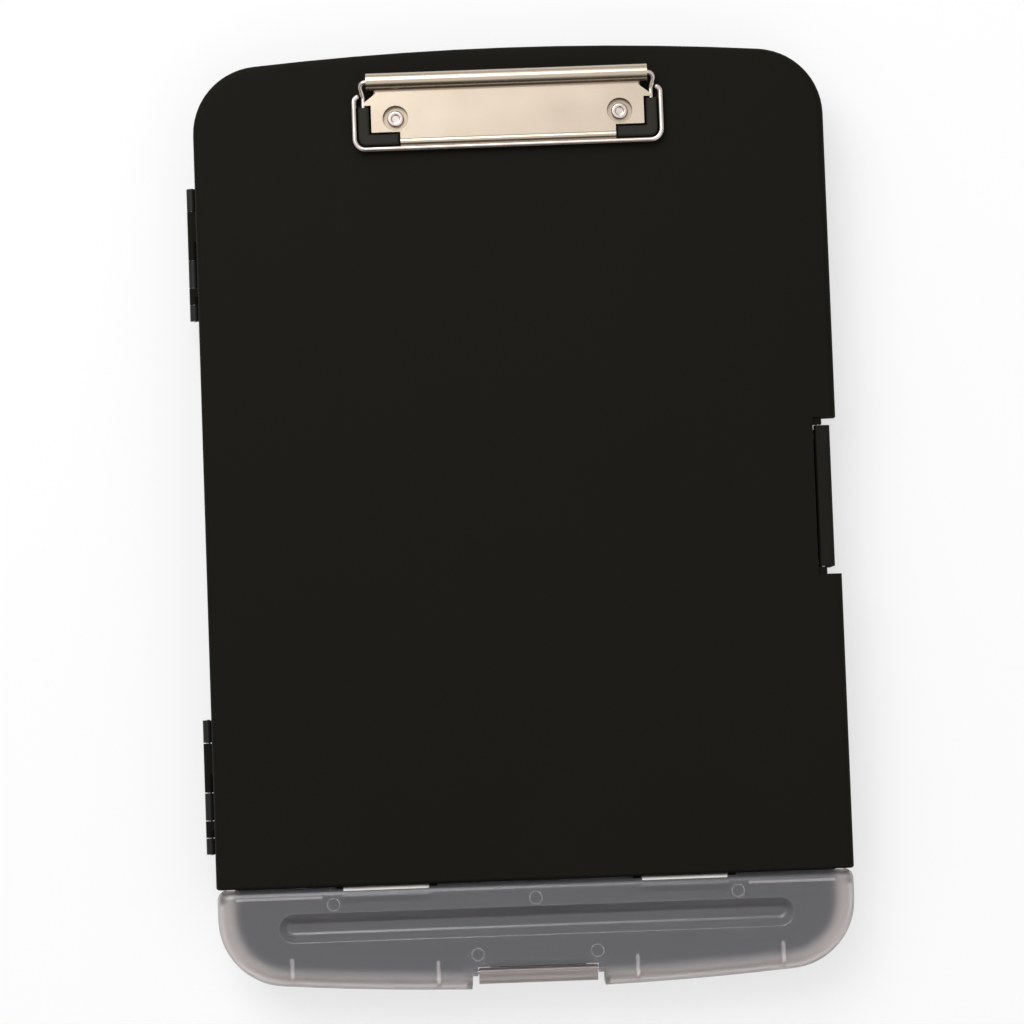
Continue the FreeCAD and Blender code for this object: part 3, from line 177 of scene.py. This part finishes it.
# Tray: one injection moulding of black plastic, with a fine satin grain and faintly paler patches.
# Both lids are hinged to it, and both latches hook under its catches.
mould_grain = bpy.data.node_groups.new("mould_grain", "ShaderNodeTree")
for socket_name, socket_value in (("Fineness", 1800.0), ("Patch Size", 14.0)):
    socket = mould_grain.interface.new_socket(socket_name, in_out="INPUT", socket_type="NodeSocketFloat")
    socket.default_value = socket_value
for socket_name in ("Grain", "Patches"):
    mould_grain.interface.new_socket(socket_name, in_out="OUTPUT", socket_type="NodeSocketFloat")
grain_in = mould_grain.nodes.new("NodeGroupInput")
grain_out = mould_grain.nodes.new("NodeGroupOutput")
grain_place = mould_grain.nodes.new("ShaderNodeTexCoord")
grain_fine = mould_grain.nodes.new("ShaderNodeTexNoise")
grain_fine.inputs["Detail"].default_value = 3.0
grain_fine.inputs["Roughness"].default_value = 0.6
grain_patches = mould_grain.nodes.new("ShaderNodeTexNoise")
grain_patches.inputs["Detail"].default_value = 4.0
for grain_texture, size_socket, out_socket in (
        (grain_fine, "Fineness", "Grain"), (grain_patches, "Patch Size", "Patches")):
    mould_grain.links.new(grain_place.outputs["Object"], grain_texture.inputs["Vector"])
    mould_grain.links.new(grain_in.outputs[size_socket], grain_texture.inputs["Scale"])
    mould_grain.links.new(grain_texture.outputs["Fac"], grain_out.inputs[out_socket])


def moulded_plastic(name, dark, pale, roughness, fineness, depth, gloss):
    """Plastic from a mould: mottled very slightly between two colours, with a fine grain in its skin."""
    material = bpy.data.materials.new(name)
    material.use_nodes = True
    tree = material.node_tree
    shader = tree.nodes["Principled BSDF"]
    shader.inputs["Specular IOR Level"].default_value = gloss
    grain = tree.nodes.new("ShaderNodeGroup")
    grain.node_tree = mould_grain
    grain.inputs["Fineness"].default_value = fineness
    tint = tree.nodes.new("ShaderNodeMix")
    tint.data_type = "RGBA"
    tint.inputs["A"].default_value = (*dark, 1.0)
    tint.inputs["B"].default_value = (*pale, 1.0)
    spread = tree.nodes.new("ShaderNodeMapRange")
    spread.inputs["To Min"].default_value = roughness - 0.05
    spread.inputs["To Max"].default_value = roughness + 0.07
    bump = tree.nodes.new("ShaderNodeBump")
    bump.inputs["Distance"].default_value = depth
    bump.inputs["Strength"].default_value = 0.6
    tree.links.new(grain.outputs["Patches"], tint.inputs["Factor"])
    tree.links.new(tint.outputs["Result"], shader.inputs["Base Color"])
    tree.links.new(grain.outputs["Patches"], spread.inputs["Value"])
    tree.links.new(spread.outputs["Result"], shader.inputs["Roughness"])
    tree.links.new(grain.outputs["Grain"], bump.inputs["Height"])
    tree.links.new(bump.outputs["Normal"], shader.inputs["Normal"])
    return material


def dress(node, material):
    """Gives a piece of the frame its finish."""
    nodes[node].data.materials.clear()
    nodes[node].data.materials.append(material)


tray_plastic = moulded_plastic(
    "satin_black_plastic", (0.007, 0.007, 0.006), (0.011, 0.011, 0.009), 0.46, 1500.0, 0.00005, 0.22)
dress("base_tray", tray_plastic)

# Board lid: moulded of black plastic with a finer and duller grain than the tray's, so that paper
# lies flat on it and a pen doesn't catch. It swings on the two hinges at the tray's left side.
board_plastic = moulded_plastic(
    "matt_black_board", (0.0036, 0.0032, 0.0016), (0.0068, 0.0061, 0.0036), 0.62, 2600.0, 0.00004, 0.08)
dress("board_lid", board_plastic)

# Side latch: a separate flap, moulded of black plastic with a duller skin than the tray's. It turns
# on its pin in a recess of the board lid's right side.
dress("side_latch", moulded_plastic(
    "satin_black_flap", (0.0050, 0.0046, 0.0028), (0.0086, 0.0080, 0.0056), 0.50, 1500.0, 0.00004, 0.09))

# Pen lid and its latch: moulded of clear polypropylene with a frosted skin, which lets light through
# and scatters it. The lid turns on two pins in its barrels at the board's front edge, and the latch
# turns on a pin at the lid's own front edge.
# Masks for the pen lid's painted light: Rim, where the lid's edge is painted paler and warmer as painted
# light glowing through it, and Groove Wall, where the groove's front wall is painted paler as a painted
# highlight.
painted_light_bands = bpy.data.node_groups.new("painted_light_bands", "ShaderNodeTree")
for socket_name, socket_value in (
        ("Half Width", 0.116), ("Half Length", 0.1740), ("Corner", 0.025), ("Bow", 0.442),
        ("Groove Half", 0.0884), ("Groove Back", 0.1477)):
    socket = painted_light_bands.interface.new_socket(socket_name, in_out="INPUT", socket_type="NodeSocketFloat")
    socket.default_value = socket_value
for socket_name in ("Rim", "Groove Wall"):
    painted_light_bands.interface.new_socket(socket_name, in_out="OUTPUT", socket_type="NodeSocketFloat")
bands_in = painted_light_bands.nodes.new("NodeGroupInput").outputs
bands_out = painted_light_bands.nodes.new("NodeGroupOutput")


def sum_of(operation, first, second=0.0):
    """One step of arithmetic on two numbers, each an output or a plain value."""
    step = painted_light_bands.nodes.new("ShaderNodeMath")
    step.operation = operation
    for socket, value in zip(step.inputs, (first, second)):
        if isinstance(value, float):
            socket.default_value = value
        else:
            painted_light_bands.links.new(value, socket)
    return step.outputs[0]


def length_of(along, beside):
    """The distance that two sides at a right angle span."""
    return sum_of("SQRT", sum_of("ADD", sum_of("POWER", along, 2.0), sum_of("POWER", beside, 2.0)))


def fade(value, start, end):
    """Rises softly from nought at the start to one at the end."""
    ramp = painted_light_bands.nodes.new("ShaderNodeMapRange")
    ramp.interpolation_type = "SMOOTHSTEP"
    ramp.inputs["From Min"].default_value = start
    ramp.inputs["From Max"].default_value = end
    painted_light_bands.links.new(value, ramp.inputs["Value"])
    return ramp.outputs["Result"]


bands_place = painted_light_bands.nodes.new("ShaderNodeTexCoord")
bands_split = painted_light_bands.nodes.new("ShaderNodeSeparateXYZ")
painted_light_bands.links.new(bands_place.outputs["Object"], bands_split.inputs[0])
sideways = sum_of("ABSOLUTE", bands_split.outputs["X"])
ahead = sum_of("SUBTRACT", 0.0, bands_split.outputs["Y"])
bowed = sum_of("ADD", ahead, sum_of("MULTIPLY", sum_of("MULTIPLY", sideways, sideways), bands_in["Bow"]))
past_side = sum_of("SUBTRACT", sideways, sum_of("SUBTRACT", bands_in["Half Width"], bands_in["Corner"]))
past_end = sum_of("SUBTRACT", bowed, sum_of("SUBTRACT", bands_in["Half Length"], bands_in["Corner"]))
past = length_of(sum_of("MAXIMUM", past_side, 0.0), sum_of("MAXIMUM", past_end, 0.0))
rim_start, rim_full = 0.0150, 0.0205
painted_light_bands.links.new(fade(past, rim_start, rim_full), bands_out.inputs["Rim"])
floor_edge, wall_foot, wall_head, groove_edge = 0.0016, 0.0024, 0.0048, 0.0054
rear_side, front_side = -0.0045, 0.0030
# This mask marks the groove's front wall, whose colour is painted paler as a painted highlight.
past_groove = sum_of("MAXIMUM", sum_of("SUBTRACT", sideways, bands_in["Groove Half"]), 0.0)
off_groove = sum_of("SUBTRACT", ahead, bands_in["Groove Back"])
groove_reach = length_of(past_groove, off_groove)
painted_groove_light = sum_of("MULTIPLY", fade(groove_reach, floor_edge, wall_foot),
                     fade(groove_reach, groove_edge, wall_head))
painted_groove_light = sum_of("MULTIPLY", painted_groove_light, fade(off_groove, rear_side, front_side))
painted_light_bands.links.new(painted_groove_light, bands_out.inputs["Groove Wall"])


def frosted_plastic(name, panel, rim, roughness, clearness):
    """See-through plastic with a frosted skin under a smoother gloss, a little cloudy in patches.
    Its colour is painted paler and warmer along the rim, painted light glowing through the edge, and
    painted paler on the groove's front wall, a painted highlight."""
    material = bpy.data.materials.new(name)
    material.use_nodes = True
    tree = material.node_tree
    shader = tree.nodes["Principled BSDF"]
    shader.inputs["IOR"].default_value = 1.49
    shader.inputs["Transmission Weight"].default_value = clearness
    shader.inputs["Coat Weight"].default_value = 0.5
    shader.inputs["Coat Roughness"].default_value = 0.12
    grain = tree.nodes.new("ShaderNodeGroup")
    grain.node_tree = mould_grain
    grain.inputs["Fineness"].default_value = 1200.0
    grain.inputs["Patch Size"].default_value = 22.0
    band = tree.nodes.new("ShaderNodeGroup")
    band.node_tree = painted_light_bands
    # Painted highlight: the groove's front wall is painted paler.
    walls = tree.nodes.new("ShaderNodeMix")
    walls.data_type = "RGBA"
    walls.inputs["A"].default_value = (*panel, 1.0)
    walls.inputs["B"].default_value = (0.92, 0.90, 0.94, 1.0)
    # Painted light: the rim is painted paler and warmer, as if lit through from the pale surroundings.
    depth = tree.nodes.new("ShaderNodeMix")
    depth.data_type = "RGBA"
    depth.inputs["B"].default_value = (*rim, 1.0)
    tint = tree.nodes.new("ShaderNodeMix")
    tint.data_type = "RGBA"
    tint.blend_type = "MULTIPLY"
    tint.inputs["B"].default_value = (0.93, 0.93, 0.93, 1.0)
    spread = tree.nodes.new("ShaderNodeMapRange")
    spread.inputs["To Min"].default_value = roughness - 0.04
    spread.inputs["To Max"].default_value = roughness + 0.06
    bump = tree.nodes.new("ShaderNodeBump")
    bump.inputs["Distance"].default_value = 0.00003
    bump.inputs["Strength"].default_value = 0.5
    tree.links.new(band.outputs["Groove Wall"], walls.inputs["Factor"])
    tree.links.new(walls.outputs["Result"], depth.inputs["A"])
    tree.links.new(band.outputs["Rim"], depth.inputs["Factor"])
    tree.links.new(depth.outputs["Result"], tint.inputs["A"])
    tree.links.new(grain.outputs["Patches"], tint.inputs["Factor"])
    tree.links.new(tint.outputs["Result"], shader.inputs["Base Color"])
    tree.links.new(grain.outputs["Patches"], spread.inputs["Value"])
    tree.links.new(spread.outputs["Result"], shader.inputs["Roughness"])
    tree.links.new(grain.outputs["Grain"], bump.inputs["Height"])
    tree.links.new(bump.outputs["Normal"], shader.inputs["Normal"])
    return material


# The rim colour given here is painted light.
dress("pen_lid", frosted_plastic(
    "frosted_pen_lid", (0.50, 0.49, 0.535), (1.0, 0.94, 0.93), 0.34, 0.91))
# The latch's rim colour is painted light too.
dress("pen_latch", frosted_plastic(
    "frosted_pen_latch", (0.70, 0.62, 0.60), (0.78, 0.70, 0.68), 0.36, 0.86))

# Thick places of the pen lid: four ribs behind the front skirt, the strips behind the groove and the
# crests of its two barrels. They are painted paler as painted light: ribs and strips have a milky core
# inside the clear plastic, and each crest has a milky skin, a painted highlight, that stands 0.03 mm out
# of it.
# This milky plastic is painted light in the cores and crests, and the ejector ring marks' own pale colour.
milky_marks_and_painted_light = moulded_plastic(
    "milky_marks_and_painted_light_plastic", (0.86, 0.82, 0.79), (0.94, 0.91, 0.88), 0.50, 1200.0, 0.00003, 0.3)
lid_low, lid_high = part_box("pen_lid")
lid_front, lid_back, lid_top = lid_low.y, lid_high.y, lid_high.z
both_sides = (("left", -1.0), ("right", 1.0))
core_rounding = 0.00018
core_wall = 0.0003


def finish_core(core, name):
    """Names a milky core, gives it its plastic and lets it move with the pen lid."""
    core.name = name
    core.data.materials.append(milky_marks_and_painted_light)
    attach(core, "pen_cover")


def painted_light_plate(name, low, high):
    """A thin upright plate between two corners, rounded along its edges."""
    bpy.ops.object.select_all(action="DESELECT")
    bpy.ops.mesh.primitive_cube_add(
        size=1.0, location=[(a + b) / 2 for a, b in zip(low, high)],
        scale=[b - a for a, b in zip(low, high)])
    bpy.ops.object.transform_apply(location=True, rotation=True, scale=True)
    bpy.ops.object.mode_set(mode="EDIT")
    bpy.ops.mesh.select_all(action="SELECT")
    bpy.ops.mesh.bevel(offset=core_rounding, segments=2)
    bpy.ops.object.mode_set(mode="OBJECT")
    finish_core(bpy.context.object, name)


rib_half = 0.00070
rib_foot = 0.0162
rib_top = lid_top - 0.0010
strip_foot = 0.0170
strip_top = lid_top - 0.0006
strip_back, strip_front = lid_back - 0.0030, lid_back - 0.0040
strip_inner, strip_outer = 0.0775, 0.1090
for word, side in both_sides:
    for row, rib_place, rib_back, rib_front in (
            ("outer", 0.0892, -0.1585, -0.1660), ("inner", 0.0362, -0.1612, -0.1690)):
        middle = side * rib_place
        painted_light_plate(f"rib_core_{row}_{word}",
                    (middle - rib_half, rib_front, rib_foot), (middle + rib_half, rib_back, rib_top))
    left_end, right_end = sorted((side * strip_inner, side * strip_outer))
    painted_light_plate(f"strip_painted_light_core_{word}",
                (left_end, strip_front, strip_foot), (right_end, strip_back, strip_top))

crest_radius = 0.00343
crest_length = 0.0310
crest_place = 0.0543
barrel_radius = 0.0034
crest_low, crest_high = math.radians(6.0), math.radians(52.0)
# Each crest skin is a painted highlight along the top of its barrel.
for word, side in both_sides:
    bpy.ops.object.select_all(action="DESELECT")
    bpy.ops.mesh.primitive_cylinder_add(
        vertices=96, radius=crest_radius, depth=crest_length, end_fill_type="NOTHING",
        location=(side * crest_place, lid_back - barrel_radius, lid_top - barrel_radius),
        rotation=(0.0, math.pi / 2, 0.0))
    bpy.ops.object.transform_apply(location=True, rotation=True, scale=True)
    crest = bpy.context.object
    bpy.context.tool_settings.mesh_select_mode = (False, False, True)
    for face in crest.data.polygons:
        angle = math.atan2(face.normal.z, face.normal.y)
        face.select = not crest_low < angle < crest_high
    bpy.ops.object.mode_set(mode="EDIT")
    bpy.ops.mesh.delete(type="FACE")
    bpy.ops.object.mode_set(mode="OBJECT")
    wall = crest.modifiers.new("wall", "SOLIDIFY")
    wall.thickness = core_wall
    wall.offset = -1.0
    bpy.ops.object.modifier_apply(modifier="wall")
    bpy.ops.object.shade_smooth_by_angle(angle=math.radians(30.0))
    finish_core(crest, f"crest_painted_highlight_{word}")

# Ring marks of the mould's ejector pins: five shallow milky rings in the pen lid's roof, left by the
# pins that push the lid out of its mould.
ring_radius = 0.00240
ring_height = 0.0003
ring_level = lid_top - 0.00045
rear_row = lid_back - 0.0062
front_row = lid_front + 0.0129
rear_side_place, front_side_place = 0.0735, 0.0217
ring_places = [("middle", 0.0, rear_row)]
for word, side in both_sides:
    ring_places.append((f"rear_{word}", side * rear_side_place, rear_row))
    ring_places.append((f"front_{word}", side * front_side_place, front_row))
for word, ring_x, ring_y in ring_places:
    bpy.ops.object.select_all(action="DESELECT")
    bpy.ops.mesh.primitive_cylinder_add(
        vertices=48, radius=ring_radius, depth=ring_height, end_fill_type="NOTHING",
        location=(ring_x, ring_y, ring_level))
    bpy.ops.object.transform_apply(location=True, rotation=True, scale=True)
    mark = bpy.context.object
    wall = mark.modifiers.new("wall", "SOLIDIFY")
    wall.thickness = core_wall
    bpy.ops.object.modifier_apply(modifier="wall")
    finish_core(mark, f"ring_mark_{word}")

# Hinge and latch pins: plain drawn steel wire with fine rubbing marks and smudges, cut to length. They
# lie in the bores of the knuckles, barrels and ears.
rubbing_marks = bpy.data.node_groups.new("rubbing_marks", "ShaderNodeTree")
for socket_name, socket_value in (("Fineness", 260.0), ("Stretch", 14.0)):
    socket = rubbing_marks.interface.new_socket(socket_name, in_out="INPUT", socket_type="NodeSocketFloat")
    socket.default_value = socket_value
for socket_name in ("Marks", "Smudges"):
    rubbing_marks.interface.new_socket(socket_name, in_out="OUTPUT", socket_type="NodeSocketFloat")
marks_in = rubbing_marks.nodes.new("NodeGroupInput")
marks_out = rubbing_marks.nodes.new("NodeGroupOutput")
marks_place = rubbing_marks.nodes.new("ShaderNodeTexCoord")
marks_scale = rubbing_marks.nodes.new("ShaderNodeCombineXYZ")
marks_scale.inputs["X"].default_value = 1.0
marks_scale.inputs["Z"].default_value = 6.0
marks_stretch = rubbing_marks.nodes.new("ShaderNodeVectorMath")
marks_stretch.operation = "MULTIPLY"
marks_fine = rubbing_marks.nodes.new("ShaderNodeTexNoise")
marks_fine.inputs["Detail"].default_value = 2.0
marks_smudge = rubbing_marks.nodes.new("ShaderNodeTexNoise")
marks_smudge.inputs["Scale"].default_value = 45.0
marks_smudge.inputs["Detail"].default_value = 3.0
rubbing_marks.links.new(marks_in.outputs["Stretch"], marks_scale.inputs["Y"])
rubbing_marks.links.new(marks_place.outputs["Object"], marks_stretch.inputs[0])
rubbing_marks.links.new(marks_scale.outputs[0], marks_stretch.inputs[1])
rubbing_marks.links.new(marks_stretch.outputs[0], marks_fine.inputs["Vector"])
rubbing_marks.links.new(marks_in.outputs["Fineness"], marks_fine.inputs["Scale"])
rubbing_marks.links.new(marks_place.outputs["Object"], marks_smudge.inputs["Vector"])
rubbing_marks.links.new(marks_fine.outputs["Fac"], marks_out.inputs["Marks"])
rubbing_marks.links.new(marks_smudge.outputs["Fac"], marks_out.inputs["Smudges"])


def plated_metal(name, colour, worn, roughness, stretch):
    """Plated steel: two close tones in smudges, and fine marks along the sheet's length."""
    material = bpy.data.materials.new(name)
    material.use_nodes = True
    tree = material.node_tree
    shader = tree.nodes["Principled BSDF"]
    shader.inputs["Metallic"].default_value = 1.0
    marks = tree.nodes.new("ShaderNodeGroup")
    marks.node_tree = rubbing_marks
    marks.inputs["Stretch"].default_value = stretch
    tint = tree.nodes.new("ShaderNodeMix")
    tint.data_type = "RGBA"
    tint.inputs["A"].default_value = (*worn, 1.0)
    tint.inputs["B"].default_value = (*colour, 1.0)
    spread = tree.nodes.new("ShaderNodeMapRange")
    spread.inputs["To Min"].default_value = roughness
    spread.inputs["To Max"].default_value = roughness + 0.10
    bump = tree.nodes.new("ShaderNodeBump")
    bump.inputs["Distance"].default_value = 0.00001
    bump.inputs["Strength"].default_value = 0.12
    tree.links.new(marks.outputs["Smudges"], tint.inputs["Factor"])
    tree.links.new(tint.outputs["Result"], shader.inputs["Base Color"])
    tree.links.new(marks.outputs["Smudges"], spread.inputs["Value"])
    tree.links.new(spread.outputs["Result"], shader.inputs["Roughness"])
    tree.links.new(marks.outputs["Marks"], bump.inputs["Height"])
    tree.links.new(bump.outputs["Normal"], shader.inputs["Normal"])
    return material


pin_steel = plated_metal("drawn_steel_pin", (0.56, 0.56, 0.57), (0.45, 0.45, 0.46), 0.24, 1.0)
for pin in ("upper_hinge_pin", "lower_hinge_pin", "pen_hinge_pin_left", "pen_hinge_pin_right",
            "side_latch_pin", "pen_latch_pin"):
    dress(pin, pin_steel)

# Board clip's sheet parts: nickel-plated strip, pressed and rolled. The base plate is riveted to the
# board and coloured darker than the lever plate, painted shade for where it lies below the lever plate,
# which turns on the spring wire.
dress("clip_base_plate", plated_metal(
    "painted_shade_nickel_sheet", (0.42, 0.35, 0.27), (0.34, 0.28, 0.21), 0.26, 14.0))
dress("clip_lever_plate", plated_metal(
    "warm_nickel_sheet", (0.585, 0.495, 0.40), (0.52, 0.44, 0.35), 0.17, 14.0))

# Board clip's wires: nickel-plated spring wire, bent to shape. The frame runs round in front of the
# lever plate's hem, and the spring runs through the curls of the base plate into the corner grips.
wire_nickel = plated_metal("bright_spring_wire", (0.66, 0.58, 0.54), (0.52, 0.45, 0.41), 0.15, 1.0)
dress("clip_frame_wire", wire_nickel)
dress("clip_spring_wire", wire_nickel)

# Rivets and their washers: plated steel. The rivets go down through base plate and board and are
# rolled over the washers under the board.
rivet_nickel = plated_metal("bright_rivet", (0.66, 0.58, 0.54), (0.50, 0.43, 0.40), 0.16, 1.0)
for rivet in ("clip_rivet_left", "clip_rivet_right", "rivet_washer_left", "rivet_washer_right"):
    dress(rivet, rivet_nickel)

# Corner grips: soft black rubber, moulded and pushed over the spring wire's ends. They press on the
# paper and keep it from sliding.
grip_rubber = moulded_plastic(
    "soft_black_rubber", (0.015, 0.0135, 0.0105), (0.024, 0.0215, 0.017), 0.72, 1100.0, 0.00006, 0.22)
dress("corner_grip_left", grip_rubber)
dress("corner_grip_right", grip_rubber)
